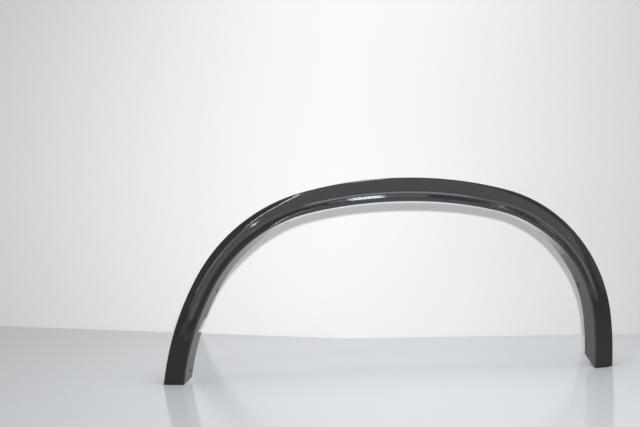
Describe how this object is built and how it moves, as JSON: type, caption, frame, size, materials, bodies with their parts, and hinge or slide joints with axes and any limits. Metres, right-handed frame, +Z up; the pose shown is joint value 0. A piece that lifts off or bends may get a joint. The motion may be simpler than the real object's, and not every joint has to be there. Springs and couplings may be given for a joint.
{
  "type": "wheel arch trim",
  "caption": "Gloss black moulded trim that frames a car's wheel opening, with a shoulder line and cove on its face, and a return flange with a notch and slots.",
  "frame": {"origin": "middle of the bounding box, at the floor line of the two feet", "axes": "+X along the car from the long leg to the short leg, +Y from the visible face into the car, +Z up"},
  "size_m": [0.9534, 0.0496, 0.4131],
  "materials": {
    "gloss_black": "gloss"
  },
  "bodies": {
    "root": {"arch_trim": "gloss_black"}
  },
  "joints": []
}
